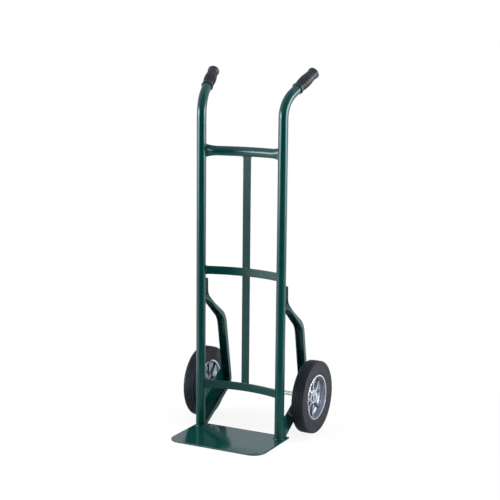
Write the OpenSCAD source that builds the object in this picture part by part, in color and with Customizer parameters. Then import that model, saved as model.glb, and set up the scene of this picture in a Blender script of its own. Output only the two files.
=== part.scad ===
// Upright two-wheeled hand truck: a welded tube frame on a steel toe plate, with two bent
// handles, bowed crosspieces, pressed wheel brackets and two spoked wheels on one fixed axle.
// Millimetres. X runs across the truck, Y towards its wheels, Z up from the floor.

/* [Uprights and handles] */
// Outside diameter of the upright tubes
tube_d = 33; // [30:0.5:36]
// Wall of the upright tubes
tube_wall = 2.5; // [1.6:0.1:4]
// Distance between the axes of the two uprights
upright_gap = 308; // [290:1:330]
// Height at which the uprights start to bend into handles
bend_start_z = 1096; // [1050:1:1180]
// Radius of the handle bends, on the tube's axis
bend_r = 95; // [80:1:120]
// How far the handles bend back from upright
bend_angle = 59; // [40:1:75]
// How far the handles turn outwards, seen from above
flare_angle = 14; // [0:1:25]
// Straight tube beyond each handle bend
handle_l = 127; // [120:1:150]

/* [Grips] */
// Length of a grip
grip_l = 105; // [95:1:115]
// Diameter of a grip where it swells most
grip_d = 42.5; // [41:0.5:48]
// Thickness of a grip's rubber at its necks
grip_wall = 1.9; // [1.5:0.1:2.5]
// Diameter of a grip's end bulb and of its collar
grip_bulb_d = 41.5; // [41:0.5:46]
// Thickness of a grip's closed end
grip_end_t = 5; // [3:0.5:8]
// Distance between two ribs of a grip
grip_rib_pitch = 4; // [3:0.5:8]
// Height of a grip's ribs
grip_rib_h = 0.7; // [0.3:0.1:1.2]

/* [Crosspieces] */
// Height of the top crosspiece, a tube
top_z = 978; // [940:1:1010]
// Height of the middle crosspiece, a flat bar
middle_z = 564; // [556:1:640]
// Height of the lower crosspiece, a flat bar
lower_z = 157; // [140:1:190]
// Radius to which the crosspieces are bowed
bow_r = 370; // [340:5:450]
// How far the middle of each crosspiece lies behind the upright axes
bow_back = 37; // [34:1:45]
// Height of the flat bars
bar_h = 28.5; // [20:0.5:35]
// Thickness of the flat bars
bar_t = 4.8; // [3:0.1:7]
// Height of the top crosspiece's flattened ends
flat_end_h = 45; // [40:1:52]
// Thickness of the top crosspiece's flattened ends
flat_end_t = 18; // [14:1:24]
// How far in from an upright's axis the flattening starts
flat_run = 48; // [40:1:60]

/* [Toe plate] */
// Width of the toe plate
plate_w = 356; // [345:1:380]
// Depth of the toe plate, front to back
plate_depth = 230; // [180:1:260]
// Thickness of the toe plate
plate_t = 5; // [3:0.5:8]
// How far the toe plate reaches behind the upright axes
plate_tail = 35; // [25:1:50]
// Radius of the toe plate's front corners
plate_front_r = 45; // [10:1:60]
// Radius of the toe plate's back corners
plate_back_r = 6; // [2:1:12]

/* [Wheel brackets] */
// Width of a bracket across the truck
bracket_w = 31; // [28:0.5:33]
// Width of the strap at a bracket's top
strap_w = 35; // [33:0.5:40]
// Thickness of the bracket's sheet
sheet_t = 3; // [2:0.1:3.5]
// Depth of the bracket's channel
channel_depth = 18.5; // [15:0.5:26]
// Outer radius of the channel's two folds
fold_r = 5; // [4.5:0.5:7]
// Height of the bracket's top end
bracket_top_z = 535; // [520:1:545]
// Height at which the bracket leaves the upright
knee_z = 474; // [465:1:490]
// Inner radius of the bend where it leaves the upright
knee_r = 44; // [30:1:50]
// Shoulder behind the upright axis
shoulder_y = 160; // [145:1:170]
// Height of the shoulder
shoulder_z = 381; // [370:1:395]
// Outer radius of the shoulder bend
shoulder_r = 80; // [60:1:90]
// Heel behind the upright axis
heel_y = 210; // [198:1:220]
// Height of the heel
heel_z = 113; // [100:1:125]
// How far behind the upright axis the bracket's web meets the toe plate
foot_y = 23; // [20:1:28]
// Outer radius of the heel bend
heel_r = 40; // [34:1:50]
// Height at which the axle cheek's front edge meets the upright
cheek_foot_z = 84; // [70:1:100]
// Height at which the cheek's front edge turns up into the channel
throat_z = 178; // [165:1:200]
// Radius in that corner
throat_r = 30; // [15:1:40]

/* [Axle] */
// Diameter of the axle
axle_d = 15.9; // [14:0.1:18]
// Axle behind the upright axes
axle_back = 140; // [130:1:150]
// How far the axle reaches beyond each outer washer
axle_tail = 8.4; // [7:0.1:12]
// Diameter of the axle washers
washer_d = 32; // [28:0.5:34]
// Thickness of the axle washers
washer_t = 2.5; // [1.5:0.1:4]
// Outside diameter of the spacer sleeves
spacer_d = 22; // [20:0.5:24]
// Wire diameter of the folded cotter pins
cotter_d = 3.4; // [2.4:0.1:4]

/* [Wheels] */
// Diameter of the wheels
wheel_d = 254; // [240:1:280]
// Width of the tyres
tyre_w = 44; // [42:1:50]
// Gap between a bracket and its tyre
tyre_gap = 20.5; // [16:0.5:26]
// Radius of the tyre's shoulders
shoulder_round = 9; // [5:1:12]
// Number of grooves round the tread
groove_count = 4; // [2:1:6]
// Width of a tread groove
groove_w = 2.4; // [1:0.1:3]
// Depth of a tread groove
groove_depth = 1.8; // [1:0.1:3]
// Outside diameter of the hub's rim
rim_d = 158; // [150:1:164]
// Width of the rim
rim_w = 40; // [36:1:40]
// Number of ribs in the hub
rib_count = 8; // [6:1:12]
// Thickness of a hub rib
rib_t = 6; // [4:0.5:7]
// Thickness of the hub's web
web_t = 6; // [4:0.5:8]
// How far the web lies inwards from the middle of the tyre
web_offset = 6; // [2:0.5:8]
// Diameter of the hub's boss
boss_d = 50; // [44:1:56]
// Length of the hub's boss
boss_l = 32; // [30:1:36]
// How far the boss lies inwards from the middle of the tyre
boss_offset = 8; // [4:1:9]

/* [Bearings] */
// Thickness of a bearing's races behind their ball tracks
race_wall = 1.55; // [1.4:0.05:2.2]
// Width of a bearing's outer race
bearing_w = 11; // [9:0.5:12]
// Number of balls in a bearing
ball_count = 8; // [6:1:8]
// Diameter of a bearing's balls
ball_d = 6.4; // [5.5:0.1:6.6]

/* [Fits] */
// Gap left at a welded or stacked joint
weld_gap = 0.05; // [0.02:0.01:0.1]
// Radial gap round the axle
axle_fit = 0.06; // [0.03:0.01:0.1]
// Radial gap of a pressed or stretched seat
press_gap = 0.03; // [0.02:0.01:0.06]
// Gap round a bearing's balls
ball_gap = 0.1; // [0.06:0.01:0.15]
// How far a bend stands proud of the straight parts it joins
bend_swell = 0.05; // [0.04:0.01:0.08]
// How far a straight part runs into a bend
bend_lap = 0.8; // [0.5:0.1:1]

/* [Hidden] */
$fn = 96;
tube_r = tube_d / 2;
wheel_r = wheel_d / 2;
rim_r = rim_d / 2;
axle_r = axle_d / 2;
upright_x = upright_gap / 2;
// The origin lies on the floor under the middle of the truck's length
upright_y = -(axle_back + wheel_r - (plate_depth - plate_tail)) / 2;
axle_y = upright_y + axle_back;
axle_z = wheel_r;
// Places along the axle, from the middle of the truck outwards
bracket_outer_x = upright_x + bracket_w / 2;
tyre_inner_x = bracket_outer_x + tyre_gap;
tyre_mid_x = tyre_inner_x + tyre_w / 2;
boss_mid_x = tyre_mid_x - boss_offset;
boss_inner_x = boss_mid_x - boss_l / 2;
boss_outer_x = boss_mid_x + boss_l / 2;
// How far an inner race stands out of its outer race, on the side away from the wheel's middle
race_stand = 1;
inner_race_w = bearing_w + race_stand;
outer_washer_x = boss_outer_x + race_stand + weld_gap;
axle_end_x = outer_washer_x + washer_t + axle_tail;
cotter_x = outer_washer_x + washer_t + cotter_d * 0.7;
// The tyre's seat lies between the rim's two lips
rim_lip_t = 4;
tyre_seat_r = rim_r - 6;
tyre_seat_half = rim_w / 2 - rim_lip_t;
// The boss is set inwards, so both its ends are measured from the middle of the tyre
boss_in = -boss_offset - boss_l / 2;
boss_out = -boss_offset + boss_l / 2;
web_in = -web_offset - web_t / 2;
web_out = -web_offset + web_t / 2;
// Half the space between the races of a bearing
race_gap = 1.5;
// A race is as thick behind its ball track on the axle's side as on the hub's side
ball_pitch_r = axle_r + race_wall + ball_d / 2;
bearing_r = ball_pitch_r + ball_d / 2 + race_wall;
strap_round = 6;
// The rear face of the brackets' web, where it lies on an upright
web_back = tube_r + weld_gap + sheet_t;
// The web's rear line in side view: [distance behind the upright axis, height]
bracket_line = [
    [web_back, bracket_top_z], [web_back, knee_z], [shoulder_y, shoulder_z], [heel_y, heel_z],
    [foot_y, plate_t]
];
bend_radii = [0, knee_r, shoulder_r, heel_r, 0];
frame_green = [0.02, 0.22, 0.17];
rubber_black = [0.1, 0.1, 0.11];
tyre_grey = [0.2, 0.2, 0.22];
cast_silver = [0.75, 0.76, 0.78];
zinc = [0.7, 0.7, 0.68];
race_steel = [0.6, 0.61, 0.63];

function unit(v) = v / norm(v);
function heading(a, b) = atan2(b.y - a.y, b.x - a.x);
function flat_point(p) = [p.x, p.y];

// Points of the arc that rounds corner b, coming from a and going on to c
function rounded(a, b, c, r, steps = 8) =
    let (u = unit(a - b), v = unit(c - b), half = acos(u * v) / 2)
    let (centre = b + unit(u + v) * r / sin(half))
    let (first = b + u * r / tan(half), last = b + v * r / tan(half))
    let (from = heading(centre, first), to = heading(centre, last))
    let (turn = (to - from + 540) % 360 - 180)
    [for (i = [0:steps]) centre + r * [cos(from + turn * i / steps), sin(from + turn * i / steps)]];

// A closed outline whose points are [x, y, corner radius]
function outline(corners) =
    let (n = len(corners))
    [for (i = [0:n - 1])
        let (a = corners[(i + n - 1) % n], b = corners[i], c = corners[(i + 1) % n])
        each (b[2] > 0 ? rounded(flat_point(a), flat_point(b), flat_point(c), b[2]) : [flat_point(b)])];

// The corner at b of a line that runs a distance d inside the line a, b, c
function inside_corner(a, b, c, d) =
    let (u = unit(a - b), v = unit(c - b))
    b + unit(u + v) * d / sin(acos(u * v) / 2);

// Draws its children on the left side as the mirror image of the right side
module on_side(left) {
    if (left) mirror([1, 0, 0]) children();
    else children();
}

// Turns a shape that stands along Z so that it lies along the right half of the axle
module on_axle(x) {
    translate([x, axle_y, axle_z]) rotate([0, 90, 0]) children();
}

module ring(outer_r, inner_r, h) {
    difference() {
        cylinder(r = outer_r, h = h);
        translate([0, 0, -1]) cylinder(r = inner_r, h = h + 2);
    }
}

// ---- uprights and handles ----

// Carries its children to the end of an upright's handle bend, pointing along the handle
module at_handle() {
    translate([upright_x, upright_y, bend_start_z]) rotate([0, 0, -flare_angle])
        translate([0, bend_r * (1 - cos(bend_angle)), bend_r * sin(bend_angle)])
            rotate([-bend_angle, 0, 0]) children();
}

// A bent rod from low_z up the upright, round its bend and along the handle
module handle_rod(r, low_z, beyond) {
    translate([upright_x, upright_y, low_z])
        cylinder(r = r, h = bend_start_z - low_z + bend_lap);
    translate([upright_x, upright_y, bend_start_z]) rotate([0, 0, -flare_angle])
        translate([0, bend_r, 0]) rotate([90, 0, -90]) rotate_extrude(angle = bend_angle)
            translate([bend_r, 0]) circle(r = r + bend_swell);
    at_handle() translate([0, 0, -bend_lap]) cylinder(r = r, h = bend_lap + handle_l + beyond);
}

module upright() {
    color(frame_green) difference() {
        handle_rod(tube_r, plate_t + weld_gap, 0);
        handle_rod(tube_r - tube_wall, plate_t - 1, 1);
    }
}

// Clears the straight part of both uprights
module upright_cut() {
    for (side = [-1, 1])
        translate([side * upright_x, upright_y, 0])
            cylinder(r = tube_r + weld_gap, h = bend_start_z);
}

module left_upright() {
    on_side(true) upright();
}

module right_upright() {
    on_side(false) upright();
}

// ---- grips ----

module grip() {
    collar_l = 5;
    bulb_l = 15;
    collar_r = grip_bulb_d / 2;
    bore_r = tube_r + press_gap;
    neck_r = bore_r + grip_wall;
    // The ribbed barrel lies between the collar and the neck before the bulb
    barrel_start = 1.8 * collar_l;
    rib_count = floor((grip_l - bulb_l - barrel_start - collar_l) / grip_rib_pitch);
    collar = [
        [0, 0, 0], [collar_r - 0.5, 0, 1], [collar_r, collar_l, 1.5], [neck_r, 1.5 * collar_l, 1]
    ];
    swell = grip_d / 2 - neck_r;
    ribs = [for (i = [0:rib_count - 1])
        let (r = neck_r + swell * pow(sin(180 * (i + 0.5) / rib_count), 2))
        let (start = barrel_start + i * grip_rib_pitch)
        let (middle = start + grip_rib_pitch / 2, end = start + grip_rib_pitch)
        each [[r, start, 0], [r, middle, 0], [r - grip_rib_h, middle, 0], [r - grip_rib_h, end, 0]]];
    bulb = [
        [neck_r, grip_l - bulb_l, 2], [collar_r - 0.5, grip_l - 0.7 * bulb_l, 4],
        [collar_r, grip_l - 0.2 * bulb_l, 3], [0.7 * collar_r, grip_l, 5], [0, grip_l, 0]
    ];
    grip_start = handle_l + weld_gap + grip_end_t - grip_l;
    color(rubber_black) at_handle() translate([0, 0, grip_start]) difference() {
        rotate_extrude() polygon(outline(concat(collar, ribs, bulb)));
        translate([0, 0, -1]) cylinder(r = bore_r, h = grip_l - grip_end_t + 1);
    }
}

module left_grip() {
    on_side(true) grip();
}

module right_grip() {
    on_side(false) grip();
}

// ---- crosspieces ----

// Sweeps a section, drawn at radius 0, along the bow between two distances from the middle
module bowed(half_span) {
    half_angle = asin(half_span / bow_r);
    translate([0, upright_y + bow_back - bow_r, 0]) rotate([0, 0, 90 - half_angle])
        rotate_extrude(angle = 2 * half_angle) translate([bow_r, 0]) children();
}

// The top crosspiece's tube; its ends run straight on from the bow, pressed flat and tall.
// shrink gives its inside.
module flattened_tube(shrink) {
    r = tube_r - shrink;
    round_half = upright_x - flat_run;
    bow_end = asin(round_half / bow_r);
    start_y = upright_y + bow_back - bow_r * (1 - cos(bow_end));
    run = flat_run / cos(bow_end);
    bowed(round_half + bend_lap) translate([0, top_z]) circle(r = r + bend_swell);
    for (left = [true, false]) on_side(left)
        translate([round_half, start_y, top_z]) rotate([0, 0, -bow_end]) intersection() {
            // A cone gives the growing height and a wedge takes off the sides
            translate([-bend_lap, 0, 0]) rotate([0, 90, 0])
                cylinder(r1 = r, r2 = flat_end_h / 2 - shrink, h = run + bend_lap);
            linear_extrude(2 * flat_end_h, center = true) polygon([
                [-2 * bend_lap, r + bend_lap], [run + 1, flat_end_t / 2 - shrink],
                [run + 1, shrink - flat_end_t / 2], [-2 * bend_lap, -r - bend_lap]
            ]);
        }
}

module top_crosspiece() {
    color(frame_green) difference() {
        flattened_tube(0);
        flattened_tube(tube_wall);
        upright_cut();
    }
}

module flat_bar(z) {
    color(frame_green) difference() {
        bowed(upright_x) translate([-bar_t / 2, z - bar_h / 2]) square([bar_t, bar_h]);
        upright_cut();
    }
}

module middle_crosspiece() {
    flat_bar(middle_z);
}

module lower_crosspiece() {
    flat_bar(lower_z);
}

// A flat bar behind the two flat crosspieces, coped to the underside of the top tube
module centre_strap() {
    low_end_z = lower_z - bar_h / 2 + 4;
    front_y = upright_y + bow_back + bar_t / 2 + weld_gap;
    color(frame_green) difference() {
        translate([-bar_h / 2, front_y, low_end_z]) cube([bar_h, bar_t, top_z - low_end_z]);
        bowed(bar_h) translate([0, top_z]) circle(r = tube_r + bend_swell + weld_gap);
    }
}

// ---- toe plate ----

module toe_plate() {
    front = -(plate_depth - plate_tail);
    corner_x = plate_w / 2 - plate_front_r;
    tail_x = plate_w / 2 - plate_back_r;
    color(frame_green) translate([0, upright_y, 0]) linear_extrude(plate_t) {
        for (side = [-1, 1]) {
            translate([side * corner_x, front + plate_front_r]) circle(r = plate_front_r);
            translate([side * tail_x, plate_tail - plate_back_r]) circle(r = plate_back_r);
        }
        translate([-corner_x, front]) square([2 * corner_x, plate_front_r]);
        translate([-plate_w / 2, front + plate_front_r])
            square([plate_w, plate_depth - plate_front_r - plate_back_r]);
        translate([-tail_x, plate_tail - plate_back_r]) square([2 * tail_x, plate_back_r]);
    }
}

// ---- wheel brackets ----

// Outline of the folded sheet, or of the space inside it where inset is the sheet's thickness
module fold_outline(inset, depth) {
    half = bracket_w / 2 - inset;
    r = fold_r - inset;
    for (side = [-1, 1])
        translate([side * (half - r), inset + r]) circle(r = r);
    translate([r - half, inset]) square([2 * (half - r), r]);
    translate([-half, inset + r]) square([2 * half, depth - inset - r]);
}

// Section of the channel, open to the front: a web at the rear, two flanges and rounded folds
module channel_section(swell = 0) {
    difference() {
        fold_outline(-swell, channel_depth + swell);
        fold_outline(sheet_t + swell, channel_depth + 1);
    }
}

// Sweeps a section through one bend; a positive turn swings it to the rear
module bend(turn, r) {
    side = sign(turn);
    translate([0, -side * r, 0]) rotate([90, 0, side * 90]) rotate_extrude(angle = abs(turn))
        translate([r, 0]) rotate(-side * 90) children();
}

// Carries its children from the start of a bend to its end
module past_bend(turn, r) {
    side = sign(turn);
    translate([0, -side * r, 0]) rotate([turn, 0, 0]) translate([0, side * r, 0]) children();
}

function turn_at(i) =
    let (p = bracket_line)
    (heading(p[i], p[i + 1]) - heading(p[i - 1], p[i]) + 540) % 360 - 180;
function bend_reach(i) = bend_radii[i] > 0 ? bend_radii[i] * tan(abs(turn_at(i)) / 2) : 0;
function leg_length(i) = norm(bracket_line[i + 1] - bracket_line[i]) - bend_reach(i) - bend_reach(i + 1);

// The flat strap at the bracket's top, with rounded upper corners
module strap(length) {
    half = strap_w / 2;
    corner = half - strap_round;
    translate([0, sheet_t, 0]) rotate([90, 0, 0]) linear_extrude(sheet_t) {
        for (side = [-1, 1]) translate([side * corner, strap_round]) circle(r = strap_round);
        translate([-corner, 0]) square([2 * corner, strap_round]);
        translate([-half, strap_round]) square([strap_w, length - strap_round]);
    }
}

// The strap's edges run on through the knee and narrow into the channel's web along the slope
module strap_edges() {
    skin = bend_swell / 2;
    half = strap_w / 2;
    flat_half = bracket_w / 2 - fold_r;
    narrow_end = leg_length(1) * 0.6;
    bend(turn_at(1), knee_r) translate([-half - skin, -skin])
        square([strap_w + 2 * skin, sheet_t + 2 * skin]);
    past_bend(turn_at(1), knee_r) translate([0, sheet_t - skin, 0]) rotate([90, 0, 0])
        linear_extrude(sheet_t - 2 * skin) polygon([
            [-half, -bend_lap], [half, -bend_lap], [flat_half, narrow_end], [-flat_half, narrow_end]
        ]);
}

// The bracket from corner i of its line to its foot
module channel_run(i) {
    last = i == len(bracket_line) - 2;
    lap_out = last ? 3 * sheet_t : bend_lap;
    if (i == 0) {
        strap(leg_length(0) + bend_lap);
        translate([0, 0, leg_length(0)]) strap_edges();
    }
    else translate([0, 0, -bend_lap]) linear_extrude(bend_lap + leg_length(i) + lap_out)
        channel_section();
    if (!last) translate([0, 0, leg_length(i)]) {
        bend(turn_at(i + 1), bend_radii[i + 1]) channel_section(bend_swell);
        past_bend(turn_at(i + 1), bend_radii[i + 1]) channel_run(i + 1);
    }
}

// Side view of what is cut from the flanges at the knee, so that they grow from nothing at the
// strap to their full depth where the shoulder bend starts
function taper_outline() =
    let (strap = bracket_line[0], knee = bracket_line[1], shoulder = bracket_line[2])
    let (slope = unit(shoulder - knee), front = [slope.y, -slope.x])
    let (knee_front = inside_corner(strap, knee, shoulder, -sheet_t))
    let (full = shoulder - slope * bend_reach(2) + front * channel_depth)
    let (beyond = full + front * channel_depth)
    [[0, strap.y], [knee_front.x, strap.y], knee_front, full, beyond, [0, beyond.y]];

// Side view of the cheek that carries the axle, as [distance behind the upright axis, height]
function cheek_outline() =
    let (shoulder = bracket_line[2], heel = bracket_line[3], foot = bracket_line[4])
    let (skin = fold_r + 2 * bend_swell, leg = unit(heel - shoulder), front = [leg.y, -leg.x])
    let (top_z = throat_z + throat_r * 2)
    let (along = (shoulder.y - top_z) / -leg.y, high = shoulder + leg * along)
    let (throat_along = (shoulder.y - throat_z) / -leg.y)
    let (reach = channel_depth - sheet_t / 4)
    let (throat = shoulder + leg * throat_along + front * reach)
    let (heel_inside = inside_corner(shoulder, heel, foot, skin))
    [
        [0, plate_t, 0], [foot.x + skin / unit(foot - heel).y, plate_t, 0],
        [heel_inside.x, heel_inside.y, heel_r - skin],
        [(high + front * skin).x, (high + front * skin).y, 0],
        [(high + front * reach).x, (high + front * reach).y, 0],
        [throat.x, throat.y, throat_r],
        [web_back, cheek_foot_z, 0], [0, cheek_foot_z, 0]
    ];

module bracket() {
    // The flanges reach this far round the sides of the upright
    wrap_y = tube_r * 0.55;
    cut = 4 * bracket_w;
    color(frame_green) difference() {
        union() {
            translate([upright_x, upright_y + web_back, bracket_top_z]) rotate([180, 0, 0])
                channel_run(0);
            // The cheek lies just inside the faces of the flange that it widens
            translate([bracket_outer_x - sheet_t + bend_swell / 2, upright_y, 0])
                rotate([90, 0, 90]) linear_extrude(sheet_t - bend_swell)
                    polygon(outline(cheek_outline()));
        }
        translate([upright_x - cut / 2, upright_y, 0]) rotate([90, 0, 90])
            linear_extrude(cut) polygon(taper_outline());
        upright_cut();
        // Nothing of the bracket reaches round to the front of the upright or into the plate
        translate([upright_x - cut / 2, upright_y + wrap_y - cut, 0])
            cube([cut, cut, 2 * bracket_top_z]);
        translate([upright_x - cut / 2, upright_y - cut / 2, plate_t + weld_gap - cut])
            cube([cut, 2 * cut, cut]);
        on_axle(bracket_outer_x - 2 * sheet_t) cylinder(r = axle_r + axle_fit, h = 3 * sheet_t);
    }
}

module left_bracket() {
    on_side(true) bracket();
}

module right_bracket() {
    on_side(false) bracket();
}

// ---- axle and what sits on it ----

module axle() {
    color(zinc) difference() {
        on_axle(-axle_end_x) cylinder(r = axle_r, h = 2 * axle_end_x);
        for (side = [-1, 1])
            translate([side * cotter_x, axle_y, axle_z - wheel_r / 4])
                cylinder(r = cotter_d / 2 + weld_gap, h = wheel_r / 2);
    }
}

module axle_ring(x, outer_d, length) {
    color(zinc) on_axle(x) ring(outer_d / 2, axle_r + axle_fit, length);
}

module inner_washer() {
    axle_ring(bracket_outer_x + weld_gap, washer_d, washer_t);
}

module spacer() {
    start = bracket_outer_x + washer_t + 2 * weld_gap;
    axle_ring(start, spacer_d, boss_inner_x - race_stand - weld_gap - start);
}

module outer_washer() {
    axle_ring(outer_washer_x, washer_d, washer_t);
}

// Split pin: its eye stands above the axle and its two legs are spread below it
module cotter_pin() {
    // Two half-round wires lie together in the axle; each is about half as thick as the pair
    pair_r = cotter_d / 2;
    wire_r = pair_r * 0.6;
    eye_r = cotter_d;
    leg_l = axle_r * 0.9;
    leg_spread = 35;
    stand = 1;
    color(zinc) translate([cotter_x, axle_y, axle_z]) {
        translate([0, 0, -axle_r - stand])
            cylinder(r = pair_r, h = 2 * (axle_r + stand) + pair_r);
        translate([0, 0, axle_r + stand + eye_r + pair_r / 2]) rotate([0, 90, 0])
            rotate_extrude() translate([eye_r, 0]) circle(r = wire_r);
        for (side = [-1, 1])
            translate([0, 0, -axle_r - stand]) rotate([180 + side * leg_spread, 0, 0])
                cylinder(r = wire_r, h = leg_l);
    }
}

module left_inner_washer() {
    on_side(true) inner_washer();
}

module right_inner_washer() {
    on_side(false) inner_washer();
}

module left_spacer() {
    on_side(true) spacer();
}

module right_spacer() {
    on_side(false) spacer();
}

module left_outer_washer() {
    on_side(true) outer_washer();
}

module right_outer_washer() {
    on_side(false) outer_washer();
}

module left_cotter_pin() {
    on_side(true) cotter_pin();
}

module right_cotter_pin() {
    on_side(false) cotter_pin();
}

// ---- tyres and hubs ----

module tyre_section() {
    half = tyre_w / 2;
    lip_r = rim_r + press_gap;
    base_r = tyre_seat_r + press_gap;
    base_half = tyre_seat_half - press_gap;
    one_side = [
        [base_r, base_half, 0], [lip_r, base_half, 0], [lip_r, rim_w / 2, 1.5],
        [rim_r + (wheel_r - rim_r) / 2, half - 1, 12], [wheel_r - shoulder_round, half, 3],
        [wheel_r, half - shoulder_round, shoulder_round * 0.9]
    ];
    other_side = [for (i = [len(one_side) - 1:-1:0]) [one_side[i][0], -one_side[i][1], one_side[i][2]]];
    groove_pitch = (tyre_w - 2 * shoulder_round) / (groove_count - 1) * 0.8;
    difference() {
        polygon(outline(concat(one_side, other_side)));
        for (i = [0:groove_count - 1])
            translate([wheel_r - groove_depth, (i - (groove_count - 1) / 2) * groove_pitch - groove_w / 2])
                square([2 * groove_depth, groove_w]);
    }
}

module tyre() {
    color(tyre_grey) on_axle(tyre_mid_x) rotate_extrude() tyre_section();
}

module hub_section() {
    boss_r = boss_d / 2;
    // The boss spreads towards the web, and the barrel opens towards the rim's edges
    spread = web_t;
    barrel_r = tyre_seat_r - rim_lip_t;
    edge_r = rim_r - 1.5 * rim_lip_t;
    bore_r = bearing_r + press_gap;
    // Between the bearings the bore narrows to a shelf that they stop against
    shelf_r = ball_pitch_r;
    polygon(outline([
        [shelf_r, boss_in + bearing_w, 0], [bore_r, boss_in + bearing_w, 0],
        [bore_r, boss_in, 0], [boss_r - 1, boss_in, 1.5], [boss_r + 1, web_in, 3],
        [barrel_r, web_in, 5], [edge_r, -rim_w / 2, 1], [rim_r, -rim_w / 2, 1.6],
        [rim_r, -tyre_seat_half, 0], [tyre_seat_r, -tyre_seat_half, 0],
        [tyre_seat_r, tyre_seat_half, 0], [rim_r, tyre_seat_half, 0], [rim_r, rim_w / 2, 1.6],
        [edge_r, rim_w / 2, 1], [barrel_r, web_out, 8], [boss_r + spread, web_out, 5],
        [boss_r - 1, boss_out, 1.5], [bore_r, boss_out, 0],
        [bore_r, boss_out - bearing_w, 0], [shelf_r, boss_out - bearing_w, 0]
    ]));
}

// One rib, drawn as [radius, distance outwards]; it runs through the web. Its outer crest stays
// level with the boss's end before it falls away to the barrel.
module hub_rib() {
    root = boss_d / 2 - rim_lip_t;
    tip = tyre_seat_r - rim_lip_t / 2;
    crest_end = (root + tip) / 2;
    step = web_t / 2;
    rotate([90, 0, 0]) linear_extrude(rib_t, center = true) polygon([
        [root, boss_in + rib_t], [tip, web_in - rib_t], [tip, web_out + rib_t],
        [crest_end, boss_out - step], [root, boss_out - step / 2]
    ]);
}

module hub() {
    color(cast_silver) on_axle(tyre_mid_x) {
        rotate_extrude() hub_section();
        for (i = [0:rib_count - 1]) rotate(i * 360 / rib_count) hub_rib();
    }
}

module left_tyre() {
    on_side(true) tyre();
}

module right_tyre() {
    on_side(false) tyre();
}

module left_hub() {
    on_side(true) hub();
}

module right_hub() {
    on_side(false) hub();
}

// ---- bearings ----

// Both bearings of a wheel are alike; each is drawn about the middle of its outer race
module both_bearings() {
    on_axle(boss_inner_x + bearing_w / 2) children();
    on_axle(boss_outer_x - bearing_w / 2) mirror([0, 0, 1]) children();
}

module race_track() {
    rotate_extrude() translate([ball_pitch_r, 0]) circle(r = ball_d / 2 + ball_gap);
}

module outer_races() {
    color(race_steel) both_bearings() difference() {
        translate([0, 0, -bearing_w / 2]) ring(bearing_r, ball_pitch_r + race_gap, bearing_w);
        race_track();
    }
}

module inner_races() {
    color(race_steel) both_bearings() difference() {
        translate([0, 0, -bearing_w / 2 - race_stand])
            ring(ball_pitch_r - race_gap, axle_r + axle_fit, inner_race_w);
        race_track();
    }
}

module each_ball() {
    for (i = [0:ball_count - 1])
        rotate(i * 360 / ball_count) translate([ball_pitch_r, 0, 0]) children();
}

module balls() {
    color(race_steel) both_bearings() each_ball() sphere(r = ball_d / 2);
}

// A ribbon between the races, with a pocket round each ball
module ball_cages() {
    half_t = race_gap / 2;
    half_w = ball_d / 2 + 1.1;
    color(zinc) both_bearings() difference() {
        translate([0, 0, -half_w])
            ring(ball_pitch_r + half_t, ball_pitch_r - half_t, 2 * half_w);
        each_ball() rotate([0, 90, 0])
            cylinder(r = ball_d / 2 + ball_gap, h = 4 * race_gap, center = true);
    }
}

module left_outer_races() {
    on_side(true) outer_races();
}

module right_outer_races() {
    on_side(false) outer_races();
}

module left_inner_races() {
    on_side(true) inner_races();
}

module right_inner_races() {
    on_side(false) inner_races();
}

module left_balls() {
    on_side(true) balls();
}

module right_balls() {
    on_side(false) balls();
}

module left_ball_cages() {
    on_side(true) ball_cages();
}

module right_ball_cages() {
    on_side(false) ball_cages();
}

toe_plate();
left_upright();
right_upright();
top_crosspiece();
middle_crosspiece();
lower_crosspiece();
centre_strap();
left_bracket();
right_bracket();
left_grip();
right_grip();
axle();
left_inner_washer();
right_inner_washer();
left_spacer();
right_spacer();
left_outer_washer();
right_outer_washer();
left_cotter_pin();
right_cotter_pin();
left_tyre();
right_tyre();
left_hub();
right_hub();
left_outer_races();
right_outer_races();
left_inner_races();
right_inner_races();
left_balls();
right_balls();
left_ball_cages();
right_ball_cages();
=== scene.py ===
# A welded steel hand truck: green enamelled frame, ribbed rubber grips, and two cast wheels with
# solid rubber tyres. Metres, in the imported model's frame: X across, Y towards the wheels, Z up.
import math
import bmesh
import bpy
from mathutils import Matrix, Vector, geometry


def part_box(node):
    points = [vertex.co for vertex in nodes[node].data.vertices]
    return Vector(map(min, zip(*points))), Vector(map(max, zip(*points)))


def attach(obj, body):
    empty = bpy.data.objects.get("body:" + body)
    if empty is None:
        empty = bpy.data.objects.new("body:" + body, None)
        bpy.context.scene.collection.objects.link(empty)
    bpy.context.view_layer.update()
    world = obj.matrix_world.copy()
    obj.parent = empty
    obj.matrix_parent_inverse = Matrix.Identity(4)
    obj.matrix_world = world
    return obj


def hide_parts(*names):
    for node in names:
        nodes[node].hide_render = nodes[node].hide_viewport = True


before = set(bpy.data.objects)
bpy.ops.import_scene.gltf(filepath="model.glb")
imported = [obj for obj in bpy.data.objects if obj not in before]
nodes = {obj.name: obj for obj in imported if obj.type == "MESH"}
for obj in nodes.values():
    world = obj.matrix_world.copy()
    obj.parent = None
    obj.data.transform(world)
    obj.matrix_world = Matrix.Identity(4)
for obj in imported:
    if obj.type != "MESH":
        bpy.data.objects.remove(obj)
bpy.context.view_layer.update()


# ---- Studio ----
# A plain pale floor under a white sweep, a tall soft box at each side, and three soft lamps. The
# side from which the truck is seen stays dark, so that gloss shows deep colour there, and a dark
# flag stands behind the truck for the gloss of the toe plate: only gloss shows it.

view_turn = math.radians(27.16)
view_rise = math.radians(9.49)
view_roll = math.radians(0.55)
view_distance = 4.246
aim = Vector((0.0175, -0.0012, 0.6432))

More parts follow.
